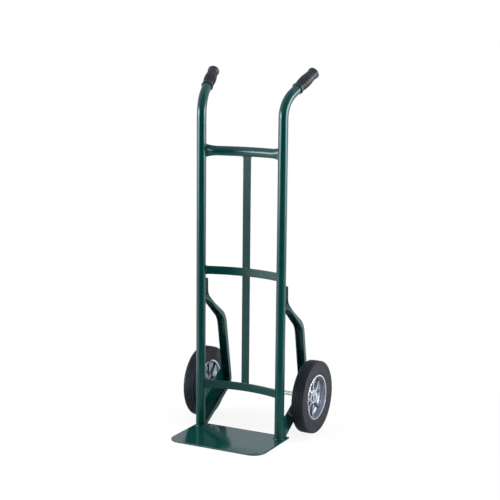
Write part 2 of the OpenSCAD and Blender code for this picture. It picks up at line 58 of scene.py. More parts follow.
towards_camera = Vector((
    math.sin(view_turn) * math.cos(view_rise),
    -math.cos(view_turn) * math.cos(view_rise),
    math.sin(view_rise),
))
camera = bpy.data.objects.new("camera", bpy.data.cameras.new("camera"))
bpy.context.scene.collection.objects.link(camera)
camera.location = aim + towards_camera * view_distance
camera.rotation_euler = (
    towards_camera.to_track_quat("Z", "Y").to_matrix() @ Matrix.Rotation(view_roll, 3, "Z")
).to_euler()
camera.data.lens = 89.56
camera.data.sensor_width = 36
camera.data.clip_end = 100
bpy.context.scene.camera = camera
bpy.context.scene.view_settings.view_transform = "Standard"


def new_material(name):
    """A material with an empty tree; returns it and a function that adds nodes to it."""
    material = bpy.data.materials.new(name)
    material.use_nodes = True
    material.node_tree.nodes.clear()
    return material, node_maker(material.node_tree)


def node_maker(tree):
    """Returns add(type, inputs..., properties...): inputs are set or linked by socket name."""
    def add(kind, inputs=None, **properties):
        node = tree.nodes.new(kind)
        for key, value in properties.items():
            setattr(node, key, value)
        for socket, value in (inputs or {}).items():
            if isinstance(value, bpy.types.NodeSocket):
                tree.links.new(value, node.inputs[socket])
            else:
                node.inputs[socket].default_value = value
        return node
    return add


def ramp(add, factor, stops):
    """A colour ramp with the given (position, grey or colour) stops."""
    node = add("ShaderNodeValToRGB", {"Fac": factor})
    elements = node.color_ramp.elements
    while len(elements) < len(stops):
        elements.new(0.5)
    for element, (position, colour) in zip(elements, stops):
        element.position = position
        grey = isinstance(colour, (int, float))
        element.color = (colour, colour, colour, 1) if grey else (*colour, 1)
    return node.outputs["Color"]


def towards_dark(add, way):
    """1 for a direction straight towards the dark side, and -1 for one away from it."""
    unit = add("ShaderNodeVectorMath", {0: way}, operation="NORMALIZE")
    return add("ShaderNodeVectorMath", {0: unit.outputs[0], 1: dark_side},
               operation="DOT_PRODUCT").outputs["Value"]


def around(add, facing, stops):
    """Brightness by direction in plan: the stop at 1 lies towards the dark side, the one at 0 away."""
    turn = add("ShaderNodeMapRange", {"Value": facing, "From Min": -1, "From Max": 1})
    return ramp(add, turn.outputs["Result"], stops)


def with_boxes(add, box, sweep):
    """The sweep's light with the soft boxes' cool glow on top of it."""
    glow = add("ShaderNodeVectorMath", {0: cool_white, "Scale": box}, operation="SCALE")
    return add("ShaderNodeVectorMath", {0: glow.outputs[0], 1: box_power, 2: sweep},
               operation="MULTIPLY_ADD").outputs[0]


# The darkest direction lies a little to the right of the camera
dark_turn = view_turn + math.radians(3)
dark_side = (math.sin(dark_turn), -math.cos(dark_turn), 0)
cool_white = (0.78, 0.95, 1.0)
box_power = (15, 15, 15)
# Dark towards the camera, bright at both sides, dimmer behind
sides = [(0.40, 1.45), (0.60, 1.45), (0.70, 1.35), (0.74, 1.0), (0.77, 0.60), (0.82, 0.34), (0.87, 0.08),
         (0.91, 0.02), (1.00, 0.01)]
sweep_stops = [(0.00, 0.75), (0.10, 0.75), (0.24, 1.05)] + sides
floor_stops = [(0.00, 0.75), (0.10, 0.75), (0.24, 1.1)] + sides
# The soft boxes stand at both sides, well behind the camera's dark corner
box_stops = [(0.00, 0.0), (0.36, 0.0), (0.48, 0.7), (0.54, 1.0), (0.70, 1.0), (0.77, 0.70), (0.82, 0.15),
             (0.86, 0.0), (1.00, 0.0)]
# On the floor their glow keeps further from the dark corner
low_box_stops = [(0.00, 0.0), (0.36, 0.0), (0.48, 0.7), (0.54, 1.0), (0.68, 1.0), (0.74, 0.3), (0.78, 0.0),
                 (1.00, 0.0)]
ambient_stops = [(0.00, 0.75), (0.30, 1.0), (0.60, 1.0), (0.80, 0.36), (1.00, 0.06)]
ambient_strength = 0.55
ceiling_blue = (0.22, 0.28, 0.42)
# Painted shade on the floor close to the truck, as gloss shows it
near_floor_painted_shade = (0.38, 0.52, 0.52, 1)

world = bpy.data.worlds.new("studio")
world.use_nodes = True
world.node_tree.nodes.clear()
bpy.context.scene.world = world
add = node_maker(world.node_tree)
rays = add("ShaderNodeLightPath")
direction = add("ShaderNodeTexCoord").outputs["Generated"]
level = add("ShaderNodeVectorMath", {0: direction, 1: (1, 1, 0)}, operation="MULTIPLY")
facing = towards_dark(add, level.outputs[0])
height = add("ShaderNodeSeparateXYZ", {0: direction}).outputs["Z"]
sweep_low = around(add, facing, sweep_stops)
fading = add("ShaderNodeMapRange", {"Value": height, "From Min": 0.15, "From Max": 0.65,
                                    "To Min": 1.0, "To Max": 0.4})
sweep = add("ShaderNodeVectorMath", {0: sweep_low, "Scale": fading.outputs["Result"]},
            operation="SCALE").outputs[0]
box_turn = around(add, facing, box_stops)
# The boxes are brightest just over the horizon
rise = add("ShaderNodeMapRange", {"Value": height, "From Min": -0.1, "From Max": 0.4})
box_height = ramp(add, rise.outputs["Result"],
                  [(0.0, 0.48), (0.2, 0.56), (0.3, 0.8), (0.48, 0.8), (0.88, 0.0)])
box = add("ShaderNodeMath", {0: box_turn, 1: box_height}, operation="MULTIPLY")
boxes = with_boxes(add, box.outputs[0], sweep)
high_up = add("ShaderNodeMapRange", {"Value": height, "From Min": 0.15, "From Max": 0.6})
ceiling = add("ShaderNodeVectorMath", {0: ceiling_blue, "Scale": high_up.outputs["Result"]},
              operation="SCALE")
overhead = add("ShaderNodeVectorMath", {0: boxes, 1: ceiling.outputs[0]}, operation="ADD")
ambient_sweep = around(add, facing, ambient_stops)
seen = add("ShaderNodeBackground", {"Color": (1, 1, 1, 1), "Strength": 1.0})
mirrored = add("ShaderNodeBackground", {"Color": overhead.outputs[0], "Strength": 1.0})
ambient = add("ShaderNodeBackground", {"Color": ambient_sweep, "Strength": ambient_strength})
gloss_or_ambient = add("ShaderNodeMixShader", {0: rays.outputs["Is Glossy Ray"],
                                               1: ambient.outputs[0], 2: mirrored.outputs[0]})
sky = add("ShaderNodeMixShader", {0: rays.outputs["Is Camera Ray"],
                                  1: gloss_or_ambient.outputs[0], 2: seen.outputs[0]})
add("ShaderNodeOutputWorld", {"Surface": sky.outputs[0]})

floor_half = 12.0
floor_mesh = bpy.data.meshes.new("floor")
floor_mesh.from_pydata([(-floor_half, -floor_half, 0), (floor_half, -floor_half, 0),
                        (floor_half, floor_half, 0), (-floor_half, floor_half, 0)],
                       [], [(0, 1, 2, 3)])
floor = bpy.data.objects.new("floor", floor_mesh)
bpy.context.scene.collection.objects.link(floor)
floor.location.z = -0.0005
material, add = new_material("pale_floor")
floor_mesh.materials.append(material)
rays = add("ShaderNodeLightPath")
spot = add("ShaderNodeTexCoord").outputs["Object"]
distance = add("ShaderNodeVectorMath", {0: spot}, operation="LENGTH").outputs["Value"]
facing = towards_dark(add, spot)
sweep = around(add, facing, floor_stops)
box_turn = around(add, facing, low_box_stops)
far = add("ShaderNodeMapRange", {"Value": distance, "From Min": 2.5, "From Max": 10.0, "To Max": 0.42},
          interpolation_type="SMOOTHSTEP")
box = add("ShaderNodeMath", {0: box_turn, 1: far.outputs["Result"]}, operation="MULTIPLY")
outer = with_boxes(add, box.outputs[0], sweep)
# Painted shade: in gloss, the floor close to the truck is dim and greenish, fading out by 1.3 m
near = add("ShaderNodeMapRange", {"Value": distance, "From Min": 0.35, "From Max": 1.3},
           interpolation_type="SMOOTHSTEP")
mirrored_floor = add("ShaderNodeMix", {0: near.outputs["Result"], 6: near_floor_painted_shade, 7: outer},
                     data_type="RGBA")
lit = add("ShaderNodeBsdfDiffuse", {"Color": (0.86, 0.87, 0.88, 1)})
white = add("ShaderNodeEmission", {"Color": (1, 1, 1, 1), "Strength": 1.0})
mirror = add("ShaderNodeEmission", {"Color": mirrored_floor.outputs[2], "Strength": 1.0})
# Only the part of the floor near the truck shows its shade
plain = add("ShaderNodeMapRange", {"Value": distance, "From Min": 0.25, "From Max": 1.1,
                                   "To Min": 0.86, "To Max": 1.0}, interpolation_type="SMOOTHSTEP")
shown = add("ShaderNodeMath", {0: rays.outputs["Is Camera Ray"], 1: plain.outputs["Result"]},
            operation="MULTIPLY")
by_eye = add("ShaderNodeMixShader", {0: shown.outputs[0], 1: lit.outputs[0], 2: white.outputs[0]})
surface = add("ShaderNodeMixShader", {0: rays.outputs["Is Glossy Ray"],
                                      1: by_eye.outputs[0], 2: mirror.outputs[0]})
add("ShaderNodeOutputMaterial", {"Surface": surface.outputs[0]})


# The flag is wider at its top; each corner is (distance to the right of the view's axis, height)
away = Vector((-math.sin(view_turn), math.cos(view_turn), 0))
right_hand = Vector((math.cos(view_turn), math.sin(view_turn), 0))
flag_corners = [(-0.21, 0.18), (-0.127, 0.18), (0.095, 1.0), (-0.406, 1.0)]
flag_mesh = bpy.data.meshes.new("flag")
flag_mesh.from_pydata([away + right_hand * across + Vector((0, 0, z)) for across, z in flag_corners],
                      [], [(0, 1, 2, 3)])
flag = bpy.data.objects.new("flag", flag_mesh)
bpy.context.scene.collection.objects.link(flag)
flag.visible_camera = False
flag.visible_diffuse = False
flag.visible_shadow = False
flag.visible_transmission = False
material, add = new_material("black_cloth")
flag_mesh.materials.append(material)
cloth = add("ShaderNodeEmission", {"Color": (0.01, 0.012, 0.012, 1), "Strength": 1.0})
add("ShaderNodeOutputMaterial", {"Surface": cloth.outputs[0]})


def soft_lamp(name, place, size, power):
    """A square area lamp that faces the middle of the truck."""
    lamp = bpy.data.lights.new(name, "AREA")
    lamp.size = size
    lamp.energy = power
    holder = bpy.data.objects.new(name, lamp)
    bpy.context.scene.collection.objects.link(holder)
    holder.location = place
    holder.rotation_euler = (Vector(place) - aim).to_track_quat("Z", "Y").to_euler()
    holder.visible_camera = False
    holder.visible_glossy = False


soft_lamp("lamp_above", (0.4, 0.6, 3.6), 2.4, 55)
soft_lamp("lamp_right", (3.0, -0.2, 1.6), 1.6, 95)
soft_lamp("lamp_left", (-2.9, -1.5, 1.3), 1.6, 140)


# ---- Welded frame ----
# Steel plate, tube and bar, welded together and enamelled dark green in one dip. The enamel is
# glossy and flows a little before it sets; dust lies on what faces up. Sheared edges are eased.

def effect_group(name, inputs, outputs):
    """A shader node group with named sockets; returns it, its input node and its node maker."""
    group = bpy.data.node_groups.new(name, "ShaderNodeTree")
    for socket, kind, value in inputs:
        made = group.interface.new_socket(socket, in_out="INPUT", socket_type=kind)
        made.default_value = value
    for socket, kind in outputs:
        group.interface.new_socket(socket, in_out="OUTPUT", socket_type=kind)
    return group, group.nodes.new("NodeGroupInput"), node_maker(group)


# Fine grain and soft blotches, which every finish of the truck has in its own measure
grain, given, add = effect_group(
    "surface_grain",
    [("Scale", "NodeSocketFloat", 400.0), ("Low", "NodeSocketFloat", 0.1),
     ("High", "NodeSocketFloat", 0.2), ("Bump", "NodeSocketFloat", 0.1),
     ("Blotch Scale", "NodeSocketFloat", 12.0), ("Flow", "NodeSocketFloat", 0.0)],
    [("Roughness", "NodeSocketFloat"), ("Blotches", "NodeSocketFloat"), ("Normal", "NodeSocketVector")])
place = add("ShaderNodeTexCoord").outputs["Object"]
fine = add("ShaderNodeTexNoise", {"Vector": place, "Scale": given.outputs["Scale"], "Detail": 3.0})
wide = add("ShaderNodeTexNoise", {"Vector": place, "Scale": given.outputs["Blotch Scale"], "Detail": 4.0})
waves = add("ShaderNodeTexNoise", {"Vector": place, "Scale": 55.0, "Detail": 1.0})
rough = add("ShaderNodeMapRange", {"Value": wide.outputs["Fac"], "From Min": 0.3, "From Max": 0.7,
                                   "To Min": given.outputs["Low"], "To Max": given.outputs["High"]})
flowed = add("ShaderNodeBump", {"Height": waves.outputs["Fac"], "Strength": given.outputs["Flow"],
                                "Distance": 0.002})
bump = add("ShaderNodeBump", {"Height": fine.outputs["Fac"], "Strength": given.outputs["Bump"],
                              "Distance": 0.0005, "Normal": flowed.outputs["Normal"]})
add("NodeGroupOutput", {"Roughness": rough.outputs["Result"], "Blotches": wide.outputs["Fac"],
                        "Normal": bump.outputs["Normal"]})

# Dust settles on what faces up, thicker here and thinner there
dust, given, add = effect_group(
    "settled_dust", [("Amount", "NodeSocketFloat", 0.1), ("Scale", "NodeSocketFloat", 30.0)],
    [("Dust", "NodeSocketFloat")])
place = add("ShaderNodeTexCoord").outputs["Object"]
upward = add("ShaderNodeSeparateXYZ", {0: add("ShaderNodeNewGeometry").outputs["Normal"]})
level = add("ShaderNodeMapRange", {"Value": upward.outputs["Z"], "From Min": 0.5, "From Max": 1.0})
patches = add("ShaderNodeTexNoise", {"Vector": place, "Scale": given.outputs["Scale"], "Detail": 8.0,
                                     "Roughness": 0.65})
thick = add("ShaderNodeMapRange", {"Value": patches.outputs["Fac"], "From Min": 0.4, "From Max": 0.75})
lying = add("ShaderNodeMath", {0: level.outputs["Result"], 1: thick.outputs["Result"]},
            operation="MULTIPLY")
amount = add("ShaderNodeMath", {0: lying.outputs[0], 1: given.outputs["Amount"]}, operation="MULTIPLY")
add("NodeGroupOutput", {"Dust": amount.outputs[0]})


def add_grain(add, scale, roughness, bump, blotch=12.0, flow=0.0):
    """Places the grain group with its own values."""
    effect = add("ShaderNodeGroup", node_tree=grain)
    for socket, value in (("Scale", scale), ("Low", roughness[0]), ("High", roughness[1]),
                          ("Bump", bump), ("Blotch Scale", blotch), ("Flow", flow)):
        effect.inputs[socket].default_value = value
    return effect


def blend_colours(add, mask, low, high):
    """The low colour where the mask is 0 and the high one where it is 1."""
    mix = add("ShaderNodeMix", {0: mask}, data_type="RGBA")
    for socket, colour in ((6, low), (7, high)):
        if isinstance(colour, bpy.types.NodeSocket):
            mix.id_data.links.new(colour, mix.inputs[socket])
        else:
            mix.inputs[socket].default_value = (*colour, 1)
    return mix.outputs[2]


def blotched(add, effect, low, high):
    """A colour that drifts between two others with the grain's blotches."""
    return ramp(add, effect.outputs["Blotches"], [(0.3, low), (0.7, high)])


def end_material(add, inputs):
    """Closes a material's tree with one shader."""
    shader = add("ShaderNodeBsdfPrincipled", inputs)
    add("ShaderNodeOutputMaterial", {"Surface": shader.outputs[0]})


def finish_nodes(material, names):
    """Gives carried-over CAD nodes their finish."""
    for name in names:
        mesh = nodes[name].data
        mesh.materials.clear()
        mesh.materials.append(material)


enamel, add = new_material("green_enamel")
effect = add_grain(add, 900.0, (0.07, 0.12), 0.05, flow=0.03)
settled = add("ShaderNodeGroup", node_tree=dust)
settled.inputs["Amount"].default_value = 0.02
green = blotched(add, effect, (0.0006, 0.038, 0.0355), (0.0011, 0.046, 0.0425))
colour = blend_colours(add, settled.outputs["Dust"], green, (0.30, 0.31, 0.29))
rough = add("ShaderNodeMath", {0: settled.outputs["Dust"], 1: 1.5, 2: effect.outputs["Roughness"]},
            operation="MULTIPLY_ADD")
end_material(add, {"Base Color": colour, "Roughness": rough.outputs[0],
                   "Normal": effect.outputs["Normal"]})
finish_nodes(enamel, ["left_upright", "right_upright", "left_bracket", "right_bracket"])


def finished_piece(name, shape, crease, body, material, replaced):
    """Makes a piece of a shape, smooth but for creases over so many degrees, in a CAD node's place."""
    mesh = bpy.data.meshes.new(name)
    for polygon in shape.faces:
        polygon.smooth = True
    shape.to_mesh(mesh)
    shape.free()
    mesh.set_sharp_from_angle(angle=math.radians(crease))
    mesh.materials.append(material)
    piece = bpy.data.objects.new(name, mesh)
    bpy.context.scene.collection.objects.link(piece)
    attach(piece, body)
    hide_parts(replaced)


def eased(name, width, body, material):
    """Stands for a CAD node: the same solid, with its sharp edges rounded by a small radius."""
    shape = bmesh.new()
    shape.from_mesh(nodes[name].data)
    bmesh.ops.remove_doubles(shape, verts=shape.verts, dist=1e-6)
    bmesh.ops.dissolve_limit(shape, angle_limit=math.radians(0.3), verts=shape.verts, edges=shape.edges)
    sharp = [edge for edge in shape.edges if edge.is_manifold and edge.calc_face_angle() > math.radians(40)]
    bmesh.ops.bevel(shape, geom=sharp, offset=width, segments=3, profile=0.5, affect="EDGES",
                    clamp_overlap=True)
    finished_piece(name + "_eased", shape, 14, body, material, name)


for name, width in (("toe_plate", 0.0011), ("middle_crosspiece", 0.0008),
                    ("lower_crosspiece", 0.0008), ("centre_strap", 0.0008)):
    eased(name, width, "frame", enamel)

# The top crosspiece is a bowed tube whose ends are pressed flat and tall, hollow along the middle
# of the pressed face, and run just through the uprights' walls
tube_r = 0.0165
bow_r = 0.37
press_run = 0.048
pressed_half_h = 0.0225
pressed_half_t = 0.009
hollow_depth = 0.10
past_wall = 0.003
points_round = 64
bow_steps = 24
press_steps = 14
upright_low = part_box("right_upright")[0]
cross_low, cross_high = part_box("top_crosspiece")
upright_x = upright_low.x + tube_r
cross_z = (cross_low.z + cross_high.z) / 2
bow_centre_y = cross_high.y - tube_r - bow_r
bow_end = math.asin((upright_x - press_run) / bow_r)
cross_end = (press_run - tube_r + past_wall) / math.cos(bow_end)
# Each station is (distance along the bow, distance along the straight end beyond it)
stations = [(bow_end * bow_r * i / bow_steps, 0) for i in range(bow_steps + 1)]
stations += [(bow_end * bow_r, cross_end * i / press_steps) for i in range(1, press_steps + 1)]
half_rows = []
for along_bow, straight in stations:
    turn = along_bow / bow_r
    centre = Vector((bow_r * math.sin(turn), bow_centre_y + bow_r * math.cos(turn), cross_z))
    forward = Vector((math.cos(turn), -math.sin(turn), 0))
    across = Vector((math.sin(turn), math.cos(turn), 0))
    centre += forward * straight
    pressed = min(straight / (press_run / math.cos(bow_end)), 1)
    pressed = pressed * pressed * (3 - 2 * pressed)
    tall = tube_r + (pressed_half_h - tube_r) * pressed
    thick = tube_r + (pressed_half_t - tube_r) * pressed
    row = []
    for i in range(points_round):
        angle = 2 * math.pi * i / points_round
        hollow = 1 - hollow_depth * pressed * math.cos(angle) ** 8
        upwards = Vector((0, 0, tall * math.sin(angle)))
        row.append(centre + across * thick * hollow * math.cos(angle) + upwards)
    half_rows.append(row)
mirrored_rows = [[Vector((-point.x, point.y, point.z)) for point in row] for row in reversed(half_rows[1:])]
rows = mirrored_rows + half_rows
shape = bmesh.new()
rings = [[shape.verts.new(point) for point in row] for row in rows]
for this, following in zip(rings, rings[1:]):
    for i in range(points_round):
        k = (i + 1) % points_round
        shape.faces.new((this[i], this[k], following[k], following[i]))
shape.faces.new(rings[0])
shape.faces.new(rings[-1])
bmesh.ops.recalc_face_normals(shape, faces=shape.faces)
finished_piece("top_crosspiece_pressed", shape, 40, "frame", enamel, "top_crosspiece")


# ---- Weld beads ----
# Fillets of melted wire, laid by hand round every joint of the frame before it was enamelled.
# Each has a ripple for every beat of the torch, and swells and wanders a little.

def geometry_tree(name, inputs):
    """A Geometry Nodes tree with named inputs; returns it, its input node and its node maker."""
    tree = bpy.data.node_groups.new(name, "GeometryNodeTree")
    tree.interface.new_socket("Geometry", in_out="INPUT", socket_type="NodeSocketGeometry")
    for socket, kind in inputs:
        tree.interface.new_socket(socket, in_out="INPUT", socket_type=kind)
    tree.interface.new_socket("Geometry", in_out="OUTPUT", socket_type="NodeSocketGeometry")
    return tree, tree.nodes.new("NodeGroupInput"), node_maker(tree)


def end_tree(add, geometry, given):
    """Closes a tree the same way each time: real geometry, one material."""
    real = add("GeometryNodeRealizeInstances", {"Geometry": geometry})
    dressed = add("GeometryNodeSetMaterial", {"Geometry": real.outputs[0],
                                              "Material": given.outputs["Material"]})
    add("NodeGroupOutput", {"Geometry": dressed.outputs[0]})


def grow(name, lines, tree, body, slot, **values):
    """Runs a tree over lines of points, each (points, closed), and keeps the plain mesh."""
    points, edges = [], []
    for line, closed in lines:
        start = len(points)
        points += [tuple(point) for point in line]
        edges += [(start + i, start + i + 1) for i in range(len(line) - 1)]
        if closed:
            edges.append((len(points) - 1, start))
    guide_mesh = bpy.data.meshes.new(name + "_guide")
    guide_mesh.from_pydata(points, edges, [])
    guide = bpy.data.objects.new(name + "_guide", guide_mesh)
    bpy.context.scene.collection.objects.link(guide)
    modifier = guide.modifiers.new("grow", "NODES")
    modifier.node_group = tree
    for item in tree.interface.items_tree:
        if item.in_out == "INPUT" and item.name in values:
            modifier[item.identifier] = values[item.name]
    evaluated = guide.evaluated_get(bpy.context.evaluated_depsgraph_get())
    mesh = bpy.data.meshes.new_from_object(evaluated)
    guide.modifiers.clear()
    bpy.data.objects.remove(guide)
    piece = bpy.data.objects.new(name, mesh)
    mesh.name = name
    bpy.context.scene.collection.objects.link(piece)
    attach(piece, body)
    return piece


weld_tree, given, add = geometry_tree("weld_bead", [
    ("Bead Radius", "NodeSocketFloat"), ("Ripple Pitch", "NodeSocketFloat"),
    ("Wander", "NodeSocketFloat"), ("Seed", "NodeSocketFloat"), ("Material", "NodeSocketMaterial")])
seam = add("GeometryNodeMeshToCurve", {"Mesh": given.outputs["Geometry"]})
step = add("ShaderNodeMath", {0: given.outputs["Ripple Pitch"], 1: 0.25}, operation="MULTIPLY")
fine_seam = add("GeometryNodeResampleCurve", {"Curve": seam.outputs[0], "Length": step.outputs[0]},
                mode="LENGTH")
along = add("GeometryNodeSplineParameter")
beat = add("ShaderNodeMath", {0: along.outputs["Length"], 1: given.outputs["Ripple Pitch"]},
           operation="DIVIDE")
turn = add("ShaderNodeMath", {0: beat.outputs[0], 1: math.pi}, operation="MULTIPLY")
wave = add("ShaderNodeMath", {0: turn.outputs[0]}, operation="SINE")
crest = add("ShaderNodeMath", {0: wave.outputs[0]}, operation="ABSOLUTE")
place = add("GeometryNodeInputPosition")
swell = add("ShaderNodeTexNoise", {"Vector": place.outputs[0], "W": given.outputs["Seed"],
                                   "Scale": 90.0, "Detail": 1.0}, noise_dimensions="4D")
width = add("ShaderNodeMath", {0: crest.outputs[0], 1: 0.22, 2: 0.42}, operation="MULTIPLY_ADD")
radius = add("ShaderNodeMath", {0: swell.outputs["Fac"], 1: 0.9, 2: width.outputs[0]},
             operation="MULTIPLY_ADD")
sized = add("GeometryNodeSetCurveRadius", {"Curve": fine_seam.outputs[0], "Radius": radius.outputs[0]})
profile = add("GeometryNodeCurvePrimitiveCircle", {"Resolution": 10,
                                                   "Radius": given.outputs["Bead Radius"]})
bead = add("GeometryNodeCurveToMesh", {"Curve": sized.outputs[0], "Profile Curve": profile.outputs[0],
                                       "Fill Caps": True})
drift = add("ShaderNodeTexNoise", {"Vector": place.outputs[0], "W": given.outputs["Seed"],
                                   "Scale": 160.0, "Detail": 2.0}, noise_dimensions="4D")
centred = add("ShaderNodeVectorMath", {0: drift.outputs["Color"], 1: (0.5, 0.5, 0.5)},
              operation="SUBTRACT")
shift = add("ShaderNodeVectorMath", {0: centred.outputs[0], "Scale": given.outputs["Wander"]},
            operation="SCALE")
uneven = add("GeometryNodeSetPosition", {"Geometry": bead.outputs[0], "Offset": shift.outputs[0]})
smooth = add("GeometryNodeSetShadeSmooth", {"Geometry": uneven.outputs[0]})
end_tree(add, smooth.outputs[0], given)

sheet_t = 0.003
bead_r = 0.0026
foot_bead_r = 0.0034
plate_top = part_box("toe_plate")[1].z


def ring_points(centre, radius, count=48):
    """Points of a level circle."""
    turns = [2 * math.pi * i / count for i in range(count)]
    return [centre + Vector((math.cos(t), math.sin(t), 0)) * radius for t in turns]


def end_seam(piece, upright, side, lift):
    """The outline of a crosspiece's end where it meets an upright, as a loop round the tube."""
    reach = tube_r + 0.0003
    flat = []
    for vertex in nodes[piece].data.vertices:
        across, back = vertex.co.x - upright.x, vertex.co.y - upright.y
        if math.hypot(across, back) < reach:
            flat.append((math.atan2(back, -side * across), vertex.co.z))
    hull = geometry.convex_hull_2d([(angle * tube_r, z) for angle, z in flat])
    loop = [flat[i] for i in hull]
    return [Vector((upright.x - side * (tube_r + lift) * math.cos(angle),
                    upright.y + (tube_r + lift) * math.sin(angle), z)) for angle, z in loop]


strap_low, strap_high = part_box("centre_strap")
bracket_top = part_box("right_bracket")[1].z
lift = 0.3 * bead_r
rail_length = 0.055
rail_offset = 0.0105
rail_stop = 0.001
bracket_end_half = 0.008
cheek_foot_z = 0.084
cheek_edge = tube_r * 0.55
channel_half = 0.0155
foot_back = 0.0235
strap_stop = 0.003
strap_top_half = 0.011
# The seams outside and inside the folded sheet's channel
outer = channel_half + lift
inner = channel_half - sheet_t - lift
seams, heavy_seams = [], []
for side in (-1, 1):
    upright = Vector((side * (upright_low.x + tube_r), upright_low.y + tube_r, 0))
    heavy_seams.append((ring_points(upright + Vector((0, 0, plate_top + lift)), tube_r + lift), True))
    for piece in ("top_crosspiece", "middle_crosspiece", "lower_crosspiece"):
        seams.append((end_seam(piece, upright, side, lift), True))
    # The bracket's flat top end lies against the back of the tube, and is run down both sides
    for offset in (-rail_offset, rail_offset):
        gap_y = (math.sqrt(tube_r ** 2 - offset ** 2) + tube_r) / 2
        rail = upright + Vector((offset, gap_y, bracket_top))
        heavy_seams.append(([rail - Vector((0, 0, rail_length)), rail - Vector((0, 0, rail_stop))], False))
    end = upright + Vector((0, tube_r + sheet_t / 2, bracket_top + lift))
    end_reach = Vector((bracket_end_half, 0, 0))
    seams.append(([end - end_reach, end + end_reach], False))
    # The cheek runs up the side of the tube, and the folded sheet's foot stands on the plate
    for across, back in ((outer, cheek_edge - lift), (inner, math.sqrt(tube_r ** 2 - inner ** 2) + lift)):
        foot = upright + Vector((side * across, back, 0))
        seams.append(([foot + Vector((0, 0, plate_top)), foot + Vector((0, 0, cheek_foot_z))], False))
    u_shape = [(-outer, cheek_edge), (-outer, foot_back), (outer, foot_back), (outer, cheek_edge)]
    heavy_seams.append(([upright + Vector((x, y, plate_top + lift)) for x, y in u_shape], False))

# The centre strap is coped to the underside of the top tube and laid behind the two flat bars
strap_half = strap_high.x + lift
tube_middle_y = cross_high.y - tube_r
collar = []
for x, y in ((-1, strap_low.y), (1, strap_low.y), (1, strap_high.y), (-1, strap_high.y)):
    under = cross_z - math.sqrt(tube_r ** 2 - (y - tube_middle_y) ** 2) - lift
    collar.append(Vector((x * strap_half, y, under)))
seams.append((collar, True))
for bar in ("middle_crosspiece", "lower_crosspiece"):
    bar_low, bar_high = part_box(bar)
    for x in (-strap_half, strap_half):
        seams.append(([Vector((x, strap_low.y + lift, z))
                       for z in (max(bar_low.z, strap_low.z) + strap_stop, bar_high.z - strap_stop)],
                      False))
    seams.append(([Vector((x, strap_low.y - lift, bar_high.z + lift))
                   for x in (-strap_top_half, strap_top_half)], False))

grow("frame_welds", seams, weld_tree, "frame", "green_enamel", **{
    "Bead Radius": bead_r, "Ripple Pitch": 0.0022, "Wander": 0.0012, "Seed": 3.0, "Material": enamel})
grow("foot_welds", heavy_seams, weld_tree, "frame", "green_enamel", **{
    "Bead Radius": foot_bead_r, "Ripple Pitch": 0.0028, "Wander": 0.0018, "Seed": 8.0, "Material": enamel})


# ---- Grips ----
# Ribbed rubber sleeves, moulded with a collar and an end bulb and pushed onto the handles. The
# rubber is dull, drifts a little in tone, and keeps some dust on what faces up.

grip_rubber, add = new_material("grip_rubber")
effect = add_grain(add, 1500.0, (0.36, 0.48), 0.12, 60.0)
settled = add("ShaderNodeGroup", node_tree=dust)
settled.inputs["Amount"].default_value = 0.06
settled.inputs["Scale"].default_value = 90.0
black = blotched(add, effect, (0.012, 0.0125, 0.015), (0.019, 0.019, 0.0225))
colour = blend_colours(add, settled.outputs["Dust"], black, (0.20, 0.20, 0.20))
end_material(add, {"Base Color": colour, "Roughness": effect.outputs["Roughness"],
                   "Normal": effect.outputs["Normal"]})
finish_nodes(grip_rubber, ["left_grip", "right_grip"])


# ---- Axle, washers and spacers ----
# A bright cold-drawn rod with chamfered ends runs through both brackets. Zinc-plated washers and
# spacer sleeves, turned or punched with slightly rounded edges, keep the wheels in their places.

# Distance from the axle's line, and place along it, for every pattern that runs round it
axle_low, axle_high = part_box("axle")
axle_middle = (axle_low + axle_high) / 2
round_axle, given, add = effect_group(
    "round_the_axle", [], [("Radius", "NodeSocketFloat"), ("Along", "NodeSocketFloat")])
place = add("ShaderNodeTexCoord").outputs["Object"]
centred = add("ShaderNodeVectorMath", {0: place, 1: tuple(axle_middle)}, operation="SUBTRACT")
flat = add("ShaderNodeVectorMath", {0: centred.outputs[0], 1: (0, 1, 1)}, operation="MULTIPLY")
radius = add("ShaderNodeVectorMath", {0: flat.outputs[0]}, operation="LENGTH")
parts = add("ShaderNodeSeparateXYZ", {0: centred.outputs[0]})
along = add("ShaderNodeMath", {0: parts.outputs["X"]}, operation="ABSOLUTE")
add("NodeGroupOutput", {"Radius": radius.outputs["Value"], "Along": along.outputs[0]})

zinc, add = new_material("zinc_steel")
effect = add_grain(add, 2500.0, (0.24, 0.36), 0.08, 70.0)
around_axle = add("ShaderNodeGroup", node_tree=round_axle)
# Turning and drawing leave fine rings, seen as streaks along the gloss
rings = add("ShaderNodeCombineXYZ", {"X": around_axle.outputs["Along"], "Y": around_axle.outputs["Radius"]})
streaks = add("ShaderNodeTexNoise", {"Vector": rings.outputs[0], "Scale": 1800.0, "Detail": 2.0})
marked = add("ShaderNodeBump", {"Height": streaks.outputs["Fac"], "Strength": 0.12, "Distance": 0.0002,
                                "Normal": effect.outputs["Normal"]})
colour = blotched(add, effect, (0.80, 0.78, 0.76), (0.93, 0.91, 0.88))
end_material(add, {"Base Color": colour, "Metallic": 1.0, "Roughness": effect.outputs["Roughness"],
                   "Normal": marked.outputs["Normal"]})


def turned(name, section, closed, body, material, replaced):
    """A lathe-turned piece: a section of (place along the axle, radius) spun round its line."""
    count = 96
    shape = bmesh.new()
    rows = []
    for i in range(count):
        turn = 2 * math.pi * i / count
        cosine, sine = math.cos(turn), math.sin(turn)
        rows.append([shape.verts.new((x, axle_middle.y + r * cosine, axle_middle.z + r * sine))
                     for x, r in section])
    sides = len(section) if closed else len(section) - 1
    for i in range(count):
        this, following = rows[i], rows[(i + 1) % count]
        for j in range(sides):
            k = (j + 1) % len(section)
            shape.faces.new((this[j], this[k], following[k], following[j]))
    bmesh.ops.remove_doubles(shape, verts=shape.verts, dist=1e-7)
    bmesh.ops.recalc_face_normals(shape, faces=shape.faces)
    finished_piece(name, shape, 25, body, material, replaced)


